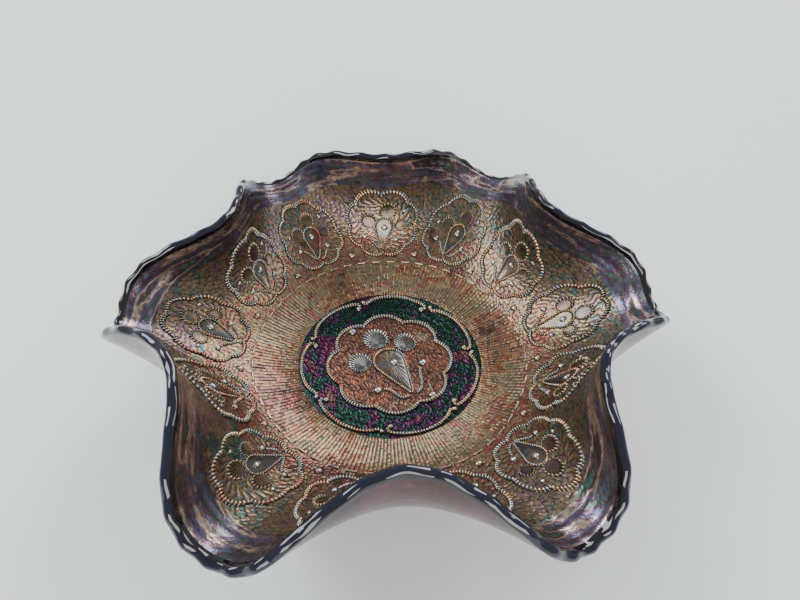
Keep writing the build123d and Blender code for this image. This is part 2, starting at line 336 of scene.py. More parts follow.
def flowing(points: Route, count: int) -> Array:
    """Draw an open smooth curve.

    Args:
        points: the points that it passes through.
        count: how many points it gets.

    Returns:
        The curve's points.
    """
    knots = np.array(points)
    padded = np.vstack((2 * knots[0] - knots[1], knots, 2 * knots[-1] - knots[-2]))
    spans = []
    for index in range(len(knots) - 1):
        a, b, c, d = padded[index : index + 4]
        t = np.linspace(0, 1, 16, endpoint=False)[:, None]
        span = 2 * b + (c - a) * t + (2 * a - 5 * b + 4 * c - d) * t**2
        spans.append((span + (3 * b - a - 3 * c + d) * t**3) / 2)
    return evenly(np.vstack((*spans, knots[-1:])), count, False)


def evenly(points: Array, count: int, closed: bool) -> Array:
    """Space a curve's points evenly along it.

    Args:
        points: the curve.
        count: how many points it gets.
        closed: whether it ends where it starts.

    Returns:
        The same curve with its new points.
    """
    line = np.vstack((points, points[:1])) if closed else points
    travelled = np.concatenate(((0,), np.cumsum(np.hypot(*np.diff(line, axis=0).T))))
    wanted = np.linspace(0, travelled[-1], count, endpoint=not closed)
    return np.stack([np.interp(wanted, travelled, line[:, axis]) for axis in (0, 1)], axis=-1)


def perimeter(outline: Array) -> float:
    """Length around a closed outline."""
    return float(np.hypot(*(np.roll(outline, -1, axis=0) - outline).T).sum())


@dataclass(frozen=True)
class Crackle:
    """Irregular cells with narrow cracks between them, as a mould is pecked.

    around is how many cells fit side by side before the pattern joins up with itself.
    """

    around: int
    rows: int
    seed: int
    crack: float = 0.11

    def cracks(self, across: Array, along: Array) -> Array:
        """Find the points that lie in a crack.

        Args:
            across: places across the pattern, in cells.
            along: places along it, in cells.

        Returns:
            How deep in a crack each point is, 0 to 1.
        """
        spots = np.random.default_rng(self.seed).random((self.rows, self.around, 2)) * 0.9 + 0.05
        column, row = np.floor(across).astype(int), np.floor(along).astype(int)
        nearest, second = np.full_like(across, 9.0), np.full_like(across, 9.0)
        for row_step in (-1, 0, 1):
            for column_step in (-1, 0, 1):
                near_row, near_column = row + row_step, column + column_step
                spot = spots[near_row % self.rows, near_column % self.around]
                gap = np.hypot(near_column + spot[..., 0] - across, near_row + spot[..., 1] - along)
                second = np.minimum(second, np.maximum(nearest, gap))
                nearest = np.minimum(nearest, gap)
        return np.exp(-(((second - nearest) / self.crack) ** 2))


@dataclass(frozen=True)
class Threading:
    """Fine lines that run up the wall, broken by short cross lines like brickwork."""

    lines: int = 208
    course: float = 2.6
    line_width: float = 0.2
    seed: int = 11

    def cuts(self, angle: Array, along: Array, radius: Array) -> Array:
        """Find the points that lie in a line.

        Args:
            angle: angles around the bowl.
            along: distances up the wall, in millimetres.
            radius: distances from the middle of the bowl, in millimetres.

        Returns:
            How deep in a line each point is, 0 to 1.
        """
        across = (angle % tau) / tau * self.lines
        column = np.floor(across).astype(int) % self.lines
        nearest_line = np.round(across).astype(int) % self.lines
        rng = np.random.default_rng(self.seed)
        offsets, strength = rng.random(self.lines), rng.random((self.lines, 32))
        side = np.abs(across - np.round(across)) * tau * radius / self.lines
        course = along / self.course + offsets[column]
        cross = np.abs(course - np.round(course)) * self.course
        kept = strength[column, np.round(course).astype(int) % 32]
        run = np.floor(along / self.course + offsets[nearest_line]).astype(int) % 32
        deep = 0.15 + 0.85 * strength[nearest_line, run] ** 0.6
        upright = deep * np.exp(-((side / self.line_width) ** 2))
        return np.maximum(upright, np.where(kept > 0.6, kept, 0) * np.exp(-((cross / 0.24) ** 2)))


@dataclass(frozen=True)
class Leafing:
    """Short strokes that stand around the inside of each medallion like leaves."""

    strokes: int = 32
    inner: float = 10.6
    outer: float = 15.2

    def cuts(self, rise: Array, angle: Array) -> tuple[Array, Array]:
        """Find the points that lie in a stroke.

        Args:
            rise: rises up the wall.
            angle: angles around the bowl.

        Returns:
            How deep in a stroke each point is, and how far it is in their ring, each 0 to 1.
        """
        turn = (angle - FIRST_MEDALLION + MEDALLION_PITCH / 2) % MEDALLION_PITCH - MEDALLION_PITCH / 2
        x = -turn * FORM.section(rise)[0]
        y = (rise - MEDALLION_MIDDLE) * FORM.wall_length / MEDALLION_STRETCH
        reach, heading = np.hypot(x, y), np.arctan2(y, x)
        ring = np.clip((reach - self.inner) / 0.8, 0, 1) * np.clip((self.outer - reach) / 0.8, 0, 1)
        wave = heading * self.strokes / tau + 0.35 * np.sin(reach * 1.3)
        side = np.abs(wave - np.round(wave)) * tau * reach / self.strokes
        return ring * np.exp(-((side / 0.3) ** 2)), ring


# ================================================================ mesh making
def deselect_all() -> None:
    """Leave object mode with nothing selected."""
    if bpy.context.object and bpy.context.object.mode != "OBJECT":
        bpy.ops.object.mode_set(mode="OBJECT")
    bpy.ops.object.select_all(action="DESELECT")


def close_seams(piece: bpy.types.Object, gap: float = 1e-7) -> None:
    """Merge doubled points and turn every face outwards.

    Args:
        piece: the mesh to close.
        gap: how far apart doubled points may be, in metres.
    """
    deselect_all()
    piece.select_set(True)
    bpy.context.view_layer.objects.active = piece
    bpy.ops.object.mode_set(mode="EDIT")
    bpy.ops.mesh.select_all(action="SELECT")
    bpy.ops.mesh.remove_doubles(threshold=gap)
    bpy.ops.mesh.normals_make_consistent(inside=False)
    bpy.ops.object.mode_set(mode="OBJECT")


def write_points(piece: bpy.types.Object, points: Array, marks: dict[str, Array]) -> None:
    """Move a mesh's points and store one value per point for each mark.

    Args:
        piece: the mesh.
        points: the new places, in millimetres.
        marks: the values, by the name that the finishes read.
    """
    piece.data.vertices.foreach_set("co", (points * MM).astype(np.float32).ravel())
    for name, values in marks.items():
        layer = piece.data.attributes.new(name, "FLOAT", "POINT")
        layer.data.foreach_set("value", np.asarray(values, np.float32).ravel())
    piece.data.update()


def wrapped_grid(
    name: str, columns: int, rows: int, shape: Callable[[Array, Array], tuple[Array, dict]]
) -> bpy.types.Object:
    """Add a flat grid and wrap it into a piece.

    Args:
        name: the piece's name.
        columns: faces along the grid.
        rows: faces across the grid.
        shape: gives millimetre points and marks from the grid's two coordinates, each 0 to 1.

    Returns:
        The new mesh object, with its seams not yet closed.
    """
    deselect_all()
    bpy.ops.mesh.primitive_grid_add(x_subdivisions=columns, y_subdivisions=rows, size=1)
    piece = bpy.context.object
    piece.name = piece.data.name = name
    flat = np.empty(3 * len(piece.data.vertices))
    piece.data.vertices.foreach_get("co", flat)
    flat = flat.reshape(-1, 3) + 0.5
    points, marks = shape(np.clip(flat[:, 0], 0, 1), np.clip(flat[:, 1], 0, 1))
    write_points(piece, points, marks)
    return piece


def joined(name: str, copies: list[bpy.types.Object]) -> bpy.types.Object:
    """Join pieces into one.

    Args:
        name: the joined piece's name.
        copies: the pieces; they are used up.

    Returns:
        The joined piece.
    """
    deselect_all()
    for copy in copies:
        copy.select_set(True)
    bpy.context.view_layer.objects.active = copies[0]
    if len(copies) > 1:
        bpy.ops.object.join()
    piece = bpy.context.object
    piece.name = piece.data.name = name
    return piece


def smoothed(piece: bpy.types.Object, angle: float = radians(55)) -> bpy.types.Object:
    """Shade a piece smooth.

    Args:
        piece: the mesh to shade.
        angle: edges sharper than this stay sharp.

    Returns:
        The same piece.
    """
    deselect_all()
    piece.select_set(True)
    bpy.context.view_layer.objects.active = piece
    bpy.ops.object.shade_smooth_by_angle(angle=angle)
    return piece


def flat_point(x: Array, y: Array, lift: Array) -> Array:
    """The drawing board: a raised point before it is wrapped on the glass."""
    return np.stack((x, y, lift), axis=-1)


def rope(route: Array, closed: bool, width: float, height: float, strand: float = 1.0,
         notch: float = 0.5) -> bpy.types.Object:
    """Draw a twisted rope of pressed glass along a route.

    Args:
        route: points along the middle of the rope, in millimetres.
        closed: whether the rope ends where it starts.
        width: width at its foot.
        height: height of its crest.
        strand: length of one strand's turn along the rope; 0 leaves the rope smooth.
        notch: how deep the notches between strands are, as a share of the height.

    Returns:
        The rope on the drawing board, as one closed mesh.
    """
    count = len(route)
    ends = np.roll(route, -1, axis=0) - np.roll(route, 1, axis=0)
    if not closed:
        ends[0], ends[-1] = route[1] - route[0], route[-1] - route[-2]
    way = ends / np.linalg.norm(ends, axis=1, keepdims=True)
    step = float(np.hypot(*np.diff(route, axis=0).T).mean())
    turns = max(1, round(count * step / strand)) if strand else 0

    def shape(s: Array, t: Array) -> tuple[Array, dict]:
        """Wrap the grid around the route: s runs along it and t around the cord."""
        spans = count if closed else count - 1
        index = np.round(s * spans).astype(int) % count
        beta = t * tau
        crest = np.clip(np.sin(beta), 0, 1)
        lay = tau * turns * s + 0.9 * np.cos(beta)
        cut = (0.5 + 0.5 * np.cos(lay)) ** 1.5 if turns else np.zeros_like(s)
        girth = np.ones_like(s)
        if not closed:
            girth = np.clip(np.minimum(s, 1 - s) * spans * step / width * 2.2, 0, 1) ** 0.5
        side = np.cos(beta) * width / 2 * girth * (1 - 0.25 * cut)
        lift = np.where(np.sin(beta) > 0, height * girth * crest * (1 - notch * cut), -RELIEF_SINK)
        x = route[index, 0] - way[index, 1] * side
        y = route[index, 1] + way[index, 0] * side
        # Painted shade in the notches between strands and down the sides to the foot; painted highlight along
        # the crest.
        groove_shade = np.maximum(cut, 0.9 * (1 - crest) ** 2)
        return flat_point(x, y, lift), {"groove_shade": groove_shade, "crest": crest * (1 - cut)}

    piece = wrapped_grid("rope", count if closed else count - 1, 10, shape)
    close_seams(piece, 1e-6)
    return piece


def bead(spot: Spot, height: float, rays: int = 0, segments: int = 16) -> bpy.types.Object:
    """Draw a round bead.

    Args:
        spot: its x, y and radius, in millimetres.
        height: height of its crown.
        rays: how many points its skirt has; 0 leaves it round.
        segments: faces around it.

    Returns:
        The bead on the drawing board.
    """
    deselect_all()
    bpy.ops.mesh.primitive_uv_sphere_add(segments=segments, ring_count=segments // 2, radius=1)
    piece = bpy.context.object
    ball = np.empty(3 * len(piece.data.vertices))
    piece.data.vertices.foreach_get("co", ball)
    ball = ball.reshape(-1, 3)
    reach = np.hypot(ball[:, 0], ball[:, 1])
    ray = 1 + 0.22 * reach**4 * np.cos(rays * np.arctan2(ball[:, 1], ball[:, 0])) if rays else 1
    lift = np.where(ball[:, 2] > 0, ball[:, 2] * height, -RELIEF_SINK)
    points = flat_point(spot[0] + ball[:, 0] * spot[2] * ray, spot[1] + ball[:, 1] * spot[2] * ray, lift)
    # Painted shade towards the foot of the bead and a painted highlight on its crown.
    crest = np.clip(ball[:, 2], 0, 1)
    write_points(piece, points, {"groove_shade": 0.9 * (1 - crest) ** 2, "crest": crest**2})
    return piece


def over_and_under(rows: Array, count: int) -> tuple[Array, Array]:
    """Split grid rows into a top that runs out to the edge and an underside that runs back.

    Args:
        rows: row positions, 0 to 1.
        count: how many faces the rows span; the last two are the underside.

    Returns:
        How far out each point is, 0 to 1, and whether it is on top.
    """
    row = np.round(rows * count)
    top = row <= count - 2
    return np.where(top, row / (count - 2), (count - row) / 2), top


def petal(spot: Spot, stem: tuple[float, float], height: float, feathers: int) -> bpy.types.Object:
    """Draw a round petal of fine feathers that fan out to a beaded edge.

    Args:
        spot: its x, y and radius, in millimetres.
        stem: where the feathers come from.
        height: height of the beaded edge.
        feathers: how many feathers it has.

    Returns:
        The petal on the drawing board.
    """
    middle, radius = np.array(spot[:2]), spot[2]
    toward = np.array(stem) - middle
    root = middle + toward / np.linalg.norm(toward) * radius * 0.6

    def shape(s: Array, rows: Array) -> tuple[Array, dict]:
        """Wrap the grid around the petal: s runs around it and rows from root to edge."""
        t, top = over_and_under(rows, 18)
        angle = s * tau
        feather = 0.5 + 0.5 * np.cos(angle * feathers)
        rim = middle + radius * np.stack((np.cos(angle), np.sin(angle)), axis=-1)
        rim = rim + (rim - middle) * (0.07 * feather)[:, None]
        flat = root + (rim - root) * t[:, None]
        beaded = np.exp(-(((t - 0.87) / 0.1) ** 2)) * (0.1 + 0.9 * feather)
        inside = 0.32 * (0.75 + 0.25 * feather * t) * (1 - t**10)
        edge = np.clip((1 - t) / 0.06, 0, 1) ** 0.5
        over = height * (inside + 0.75 * beaded) * edge - RELIEF_SINK * (1 - edge)
        lift = np.where(top, over, -RELIEF_SINK)
        # Painted shade between the feathers and away from the beaded edge; painted highlight on the beaded
        # edge.
        groove_shade = np.clip(0.3 * (1 - beaded) + (1 - feather) * (0.3 + 0.7 * t), 0, 1)
        return flat_point(flat[:, 0], flat[:, 1], lift), {"groove_shade": groove_shade, "crest": beaded}

    piece = wrapped_grid("petal", feathers * 8, 18, shape)
    close_seams(piece, 1e-6)
    return piece


def drop_fill(tip: Spot, end: Spot, height: float) -> bpy.types.Object:
    """Draw the low swelling inside a teardrop, with faint lines that run to its point.

    Args:
        tip: the small circle, as x, y and radius.
        end: the large circle, as x, y and radius.
        height: height of the swelling.

    Returns:
        The swelling on the drawing board.
    """
    outline = drop_outline(tip, end, 72)
    heart = np.array(end[:2])

    def shape(s: Array, rows: Array) -> tuple[Array, dict]:
        """Wrap the grid around the drop: s runs around it and rows from heart to edge."""
        t, top = over_and_under(rows, 12)
        index = np.round(s * 72).astype(int) % 72
        flat = heart + (outline[index] - heart) * t[:, None]
        ray = 0.5 + 0.5 * np.cos(index * tau / 4)
        swell = height * (1 - t**4) ** 0.5 * (1 - 0.3 * ray * t)
        lift = np.where(top, swell - RELIEF_SINK * t**8, -RELIEF_SINK)
        # The groove mark gives the whole swelling a duller tone of its own, plus painted shade along the
        # faint lines and towards its edge.
        groove_shade = 0.45 + 0.25 * ray * t + 0.3 * t**4
        return flat_point(flat[:, 0], flat[:, 1], lift), {"groove_shade": groove_shade, "crest": 0 * t}

    piece = wrapped_grid("fill", 72, 12, shape)
    close_seams(piece, 1e-6)
    return piece


def wrapped(name: str, drawn: list[bpy.types.Object], places: list[Placer]) -> bpy.types.Object:
    """Join what is on the drawing board and wrap a copy of it at each place.

    Args:
        name: the finished piece's name.
        drawn: objects on the drawing board; they are used up.
        places: where the copies go on the glass.

    Returns:
        One object that holds every copy.
    """
    board = joined(name, drawn)
    flat = np.empty(3 * len(board.data.vertices))
    board.data.vertices.foreach_get("co", flat)
    x, y, lift = flat.reshape(-1, 3).T / MM
    copies = [board]
    for _ in places[1:]:
        copy = board.copy()
        copy.data = board.data.copy()
        bpy.context.collection.objects.link(copy)
        copies.append(copy)
    for copy, place in zip(copies, places):
        write_points(copy, place(x, y, lift), {})
    return smoothed(joined(name, copies), radians(75))


def ring_solid(
    name: str, columns: int, inside: Array, outside: Array, relief: Relief
) -> bpy.types.Object:
    """A closed ring of the wall: detailed inside, smooth outside.

    Args:
        name: the piece's name.
        columns: faces around the bowl.
        inside: rises of the inside rows, from low to high.
        outside: rises of the outside rows, from high to low.
        relief: gives lift, and painted shade for the cuts, on the inside from rise and angle.

    Returns:
        The ring, closed and shaded.
    """
    rises = np.concatenate((inside, outside, inside[:1]))
    inner = np.concatenate((np.ones(len(inside)), np.zeros(len(outside)), np.ones(1)))

    def shape(s: Array, t: Array) -> tuple[Array, dict]:
        """Wrap the grid into the ring: s runs around the bowl and t around its section."""
        row = np.round(t * (len(rises) - 1)).astype(int)
        rise, depth, angle = rises[row], inner[row], s * tau
        lift, groove_shade = relief(rise, angle)
        points = FORM.glass(rise, angle, depth)
        points = points + FORM.inward(rise, angle) * (lift * depth)[:, None]
        flow = {"flow_x": 2.2 * np.cos(angle), "flow_y": 2.2 * np.sin(angle), "flow_z": 11 * rise}
        # The groove mark carries painted shade in the cuts, on the inside faces only.
        return points, {"groove_shade": groove_shade * depth, "inner": depth, **flow}

    piece = wrapped_grid(name, columns, len(rises) - 1, shape)
    close_seams(piece)
    return smoothed(piece)


# ================================================================ finishes
class Tint(Enum):
    """Colours of the film where it is lit, from the glow at the well to the dark glass."""

    BRONZE = (0.23, 0.145, 0.09)
    OLIVE = (0.17, 0.145, 0.085)
    ROSE = (0.24, 0.08, 0.065)
    RUST = (0.20, 0.072, 0.04)
    COPPER = (0.13, 0.048, 0.030)
    GOLD = (0.29, 0.19, 0.10)
    SILVER = (0.24, 0.235, 0.20)
    STEEL = (0.15, 0.16, 0.17)
    MAUVE = (0.17, 0.095, 0.125)
    MAGENTA = (0.085, 0.010, 0.036)
    PURPLE = (0.030, 0.012, 0.045)
    BLUE = (0.09, 0.12, 0.19)
    TEAL = (0.007, 0.030, 0.030)
    GREEN = (0.006, 0.030, 0.013)
    UMBER = (0.075, 0.042, 0.032)
    PLUM = (0.13, 0.055, 0.075)
    VIOLET = (0.15, 0.105, 0.155)
    PEACOCK = (0.07, 0.125, 0.11)
    CREAM = (0.50, 0.40, 0.30)
    NAVY = (0.0006, 0.0008, 0.003)
    # Painted glow: the blue of light shining through the thin lip of the dark cobalt glass.
    COBALT_GLOW = (0.0008, 0.0022, 0.016)


@dataclass(frozen=True)
class FilmFinish:
    """Iridescent film: drifting bands of colour, painted shade in grooves, painted highlights on crests."""

    name: str
    tints: tuple[Tint, ...]
    patch: float = 45.0
    drift: float = 2.4
    swirl: float = 0.8
    flecks: float = 1.1
    fleck_size: float = 260.0
    flowing: bool = False
    metallic: float = 0.88
    roughness: float = 0.3
    gleam: float = 0.3
    # How strongly painted shade darkens the grooves, and how strongly a painted highlight lifts the crests.
    groove_shade_strength: float = 0.85
    crest_highlight: float = 0.0
    grain: float = 0.35
    grain_size: float = 900.0

    def material(self) -> bpy.types.Material:
        """Build the finish as nodes."""
        material = bpy.data.materials.new(self.name)
        material.use_nodes = True
        nodes, links = material.node_tree.nodes, material.node_tree.links
        shader = nodes["Principled BSDF"]
        place = nodes.new("ShaderNodeTexCoord").outputs["Object"]
        along = self._flow(nodes, links) if self.flowing else place
        broad = self._noise(nodes, links, along, self.patch, 2.0)
        broad.inputs["Distortion"].default_value = self.swirl
        fleck = self._noise(nodes, links, place, self.fleck_size, 2.0)
        coarse = self._scaled(nodes, links, broad.outputs["Fac"], self.drift, 0.5 - self.drift / 2)
        small = self._scaled(nodes, links, fleck.outputs["Fac"], self.flecks, -self.flecks / 2)
        spread = self._maths(nodes, links, "ADD", coarse, small)
        ramp = nodes.new("ShaderNodeValToRGB")
        self._fill(ramp, self.tints)
        links.new(spread, ramp.inputs["Fac"])
        mottle = self._noise(nodes, links, place, 420.0, 3.0)
        value = self._scaled(nodes, links, mottle.outputs["Fac"], 1.3, 0.35)
        # Painted shade: the groove mark darkens the base colour in cuts, cracks and at the feet of the
        # relief.
        groove_shade = nodes.new("ShaderNodeAttribute")
        groove_shade.attribute_name = "groove_shade"
        shade = self._scaled(nodes, links, groove_shade.outputs["Fac"], -self.groove_shade_strength, 1.0)
        both = self._maths(nodes, links, "MULTIPLY", value, shade)
        # Painted highlight: the crest mark lightens the base colour along the crests of the relief.
        if self.crest_highlight:
            crest = nodes.new("ShaderNodeAttribute")
            crest.attribute_name = "crest"
            lit = self._scaled(nodes, links, crest.outputs["Fac"], self.crest_highlight, 1.0)
            both = self._maths(nodes, links, "MULTIPLY", both, lit)
        tone = nodes.new("ShaderNodeVectorMath")
        tone.operation = "SCALE"
        links.new(ramp.outputs["Color"], tone.inputs[0])
        links.new(both, tone.inputs["Scale"])
        links.new(tone.outputs["Vector"], shader.inputs["Base Color"])
        rough = self._scaled(nodes, links, mottle.outputs["Fac"], 0.16, self.roughness - 0.08)
        links.new(rough, shader.inputs["Roughness"])
        grain = self._noise(nodes, links, place, self.grain_size, 2.0)
        bump = nodes.new("ShaderNodeBump")
        bump.inputs["Strength"].default_value = self.grain
        bump.inputs["Distance"].default_value = 0.0004
        links.new(grain.outputs["Fac"], bump.inputs["Height"])
        links.new(bump.outputs["Normal"], shader.inputs["Normal"])
        shader.inputs["Metallic"].default_value = self.metallic
        shader.inputs["Coat Weight"].default_value = self.gleam
        shader.inputs["Coat Roughness"].default_value = 0.12
        return material

    def _flow(
        self, nodes: bpy.types.Nodes, links: bpy.types.NodeLinks
    ) -> bpy.types.NodeSocket:
        """Read the coordinates that run around the bowl, so that patches become streaks.

        Args:
            nodes: the material's nodes.
            links: the material's links.

        Returns:
            The coordinates.
        """
        gather = nodes.new("ShaderNodeCombineXYZ")
        for axis in "xyz":
            part = nodes.new("ShaderNodeAttribute")
            part.attribute_name = f"flow_{axis}"
            links.new(part.outputs["Fac"], gather.inputs[axis.upper()])
        return gather.outputs["Vector"]

    def _noise(
        self, nodes: bpy.types.Nodes, links: bpy.types.NodeLinks,
        vector: bpy.types.NodeSocket, scale: float, detail: float
    ) -> bpy.types.Node:
        """Add a noise pattern.

        Args:
            nodes: the material's nodes.
            links: the material's links.
            vector: the coordinates that it reads.
            scale: how many patches there are to one unit of them.
            detail: how many finer layers it has.

        Returns:
            The noise node.
        """
        noise = nodes.new("ShaderNodeTexNoise")
        noise.inputs["Scale"].default_value = scale
        noise.inputs["Detail"].default_value = detail
        links.new(vector, noise.inputs["Vector"])
        return noise

    def _maths(
        self, nodes: bpy.types.Nodes, links: bpy.types.NodeLinks, operation: str,
        value: bpy.types.NodeSocket, by: bpy.types.NodeSocket
    ) -> bpy.types.NodeSocket:
        """Join two values with a maths node.

        Args:
            nodes: the material's nodes.
            links: the material's links.
            operation: the maths node's operation.
            value: the first value.
            by: the second value.

        Returns:
            The result.
        """
        node = nodes.new("ShaderNodeMath")
        node.operation = operation
        links.new(value, node.inputs[0])
        links.new(by, node.inputs[1])
        return node.outputs[0]

    def _scaled(
        self, nodes: bpy.types.Nodes, links: bpy.types.NodeLinks,
        value: bpy.types.NodeSocket, scale: float, plus: float
    ) -> bpy.types.NodeSocket:
        """Scale a value and shift it.

        Args:
            nodes: the material's nodes.
            links: the material's links.
            value: the value.
            scale: what it is multiplied by.
            plus: what is then added.

        Returns:
            The result.
        """
        node = nodes.new("ShaderNodeMath")
        node.operation = "MULTIPLY_ADD"
        links.new(value, node.inputs[0])
        node.inputs[1].default_value = scale
        node.inputs[2].default_value = plus
        return node.outputs[0]

    @staticmethod
    def _fill(ramp: bpy.types.Node, tints: tuple[Tint, ...]) -> None:
        """Spread the tints evenly over a colour ramp.

        Args:
            ramp: the ramp.
            tints: its colours, in order.
        """
        elements = ramp.color_ramp.elements
        elements[0].color = (*tints[0].value, 1)
        elements[-1].color = (*tints[-1].value, 1)
        for index, tint in enumerate(tints[1:-1], start=1):
            elements.new(index / (len(tints) - 1)).color = (*tint.value, 1)


@dataclass(frozen=True)
class PolishedEdge:
    """Fire-polished cobalt glass, no film: near black, with painted blue glow of light through the thin lip.
    """

    name: str = "fire_polished_cobalt"
    roughness: float = 0.04

    def material(self) -> bpy.types.Material:
        """Build the finish as nodes."""
        material = bpy.data.materials.new(self.name)
        material.use_nodes = True
        nodes, links = material.node_tree.nodes, material.node_tree.links
        shader = nodes["Principled BSDF"]
        # Painted light: the lip mark turns navy into a brighter blue glow, as if light shone through the thin
        # edge.
        lip = nodes.new("ShaderNodeAttribute")
        lip.attribute_name = "lip"
        ramp = nodes.new("ShaderNodeValToRGB")
        ramp.color_ramp.elements[0].color = (*Tint.NAVY.value, 1)
        ramp.color_ramp.elements[1].color = (*Tint.COBALT_GLOW.value, 1)
        ramp.color_ramp.elements[0].position = 0.5
        links.new(lip.outputs["Fac"], ramp.inputs["Fac"])
        links.new(ramp.outputs["Color"], shader.inputs["Base Color"])
        ripple = nodes.new("ShaderNodeTexNoise")
        ripple.inputs["Scale"].default_value = 160.0
        links.new(nodes.new("ShaderNodeTexCoord").outputs["Object"], ripple.inputs["Vector"])
        bump = nodes.new("ShaderNodeBump")
        bump.inputs["Strength"].default_value = 0.12
        bump.inputs["Distance"].default_value = 0.001
        links.new(ripple.outputs["Fac"], bump.inputs["Height"])
        links.new(bump.outputs["Normal"], shader.inputs["Normal"])
        shader.inputs["Roughness"].default_value = self.roughness
        shader.inputs["Specular IOR Level"].default_value = 0.4
        shader.inputs["Coat Weight"].default_value = 0.5
        shader.inputs["Coat Roughness"].default_value = 0.02
        return material


CENTRE_FILM = FilmFinish(
    "centre_film", (Tint.COPPER, Tint.UMBER, Tint.RUST, Tint.UMBER, Tint.COPPER, Tint.OLIVE),
    patch=50, gleam=0.1)
RING_FILM = FilmFinish(
    "well_ring_film",
    (Tint.MAGENTA, Tint.PURPLE, Tint.GREEN, Tint.TEAL,
     Tint.GREEN, Tint.PURPLE, Tint.MAGENTA, Tint.UMBER),
    patch=70, roughness=0.26, fleck_size=420, flecks=0.7, gleam=0.05)
BAND_FILM = FilmFinish(
    "band_film",
    (Tint.ROSE, Tint.UMBER, Tint.BRONZE, Tint.RUST, Tint.GOLD, Tint.OLIVE, Tint.BRONZE, Tint.ROSE),
    patch=24, gleam=0.15)
LOWER_FILM = FilmFinish(
    "lower_field_film",
    (Tint.ROSE, Tint.UMBER, Tint.BRONZE, Tint.OLIVE, Tint.ROSE, Tint.OLIVE, Tint.GOLD, Tint.ROSE),
    patch=30, gleam=0.15)
UPPER_FILM = FilmFinish(
    "upper_field_film",
    (Tint.VIOLET, Tint.BRONZE, Tint.PEACOCK, Tint.BRONZE,
     Tint.OLIVE, Tint.MAUVE, Tint.GOLD, Tint.PEACOCK),
    patch=30, gleam=0.15)
PLAIN_FILM = FilmFinish(
    "plain_film",
    (Tint.BLUE, Tint.VIOLET, Tint.PEACOCK, Tint.PLUM, Tint.BLUE,
     Tint.MAUVE, Tint.CREAM, Tint.VIOLET, Tint.UMBER, Tint.PEACOCK),
    patch=1.7, roughness=0.25, flowing=True, swirl=0.4, flecks=0.5, gleam=0.15)
OUTER_FILM = FilmFinish(
    "outer_film", (Tint.PLUM, Tint.PURPLE, Tint.PLUM, Tint.UMBER),
    patch=14, roughness=0.25, flecks=0.3, grain=0.05)
ROPE_FILM = FilmFinish(
    "rope_film", (Tint.ROSE, Tint.GOLD, Tint.STEEL, Tint.OLIVE, Tint.GOLD), patch=50, roughness=0.22,
    crest_highlight=1.6, gleam=0.5, grain=0.1)
LEAF_FILM = FilmFinish(
    "leaf_film", (Tint.MAUVE, Tint.BRONZE, Tint.OLIVE, Tint.GOLD, Tint.STEEL), patch=60, roughness=0.22,
    crest_highlight=1.6, gleam=0.4, grain=0.1)
BRIGHT_FILM = FilmFinish(
    "bright_film", (Tint.OLIVE, Tint.STEEL, Tint.SILVER, Tint.STEEL, Tint.BRONZE),
    patch=60, roughness=0.18, crest_highlight=2.0, gleam=0.5, grain=0.1)


def finished(piece: bpy.types.Object, material: bpy.types.Material, slot: str, *nodes: str) -> None:
    """Give a piece its finish, attach it to the root body and hide the CAD nodes that it stands for.

    Args:
        piece: the finished mesh.
        material: its finish.
        slot: not used.
        nodes: the CAD nodes that it replaces.
    """
    piece.data.materials.clear()
    piece.data.materials.append(material)
    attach(piece, "root")
    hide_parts(*nodes)
    log.info("%s: %d faces for %s", piece.name, len(piece.data.polygons), ", ".join(nodes))


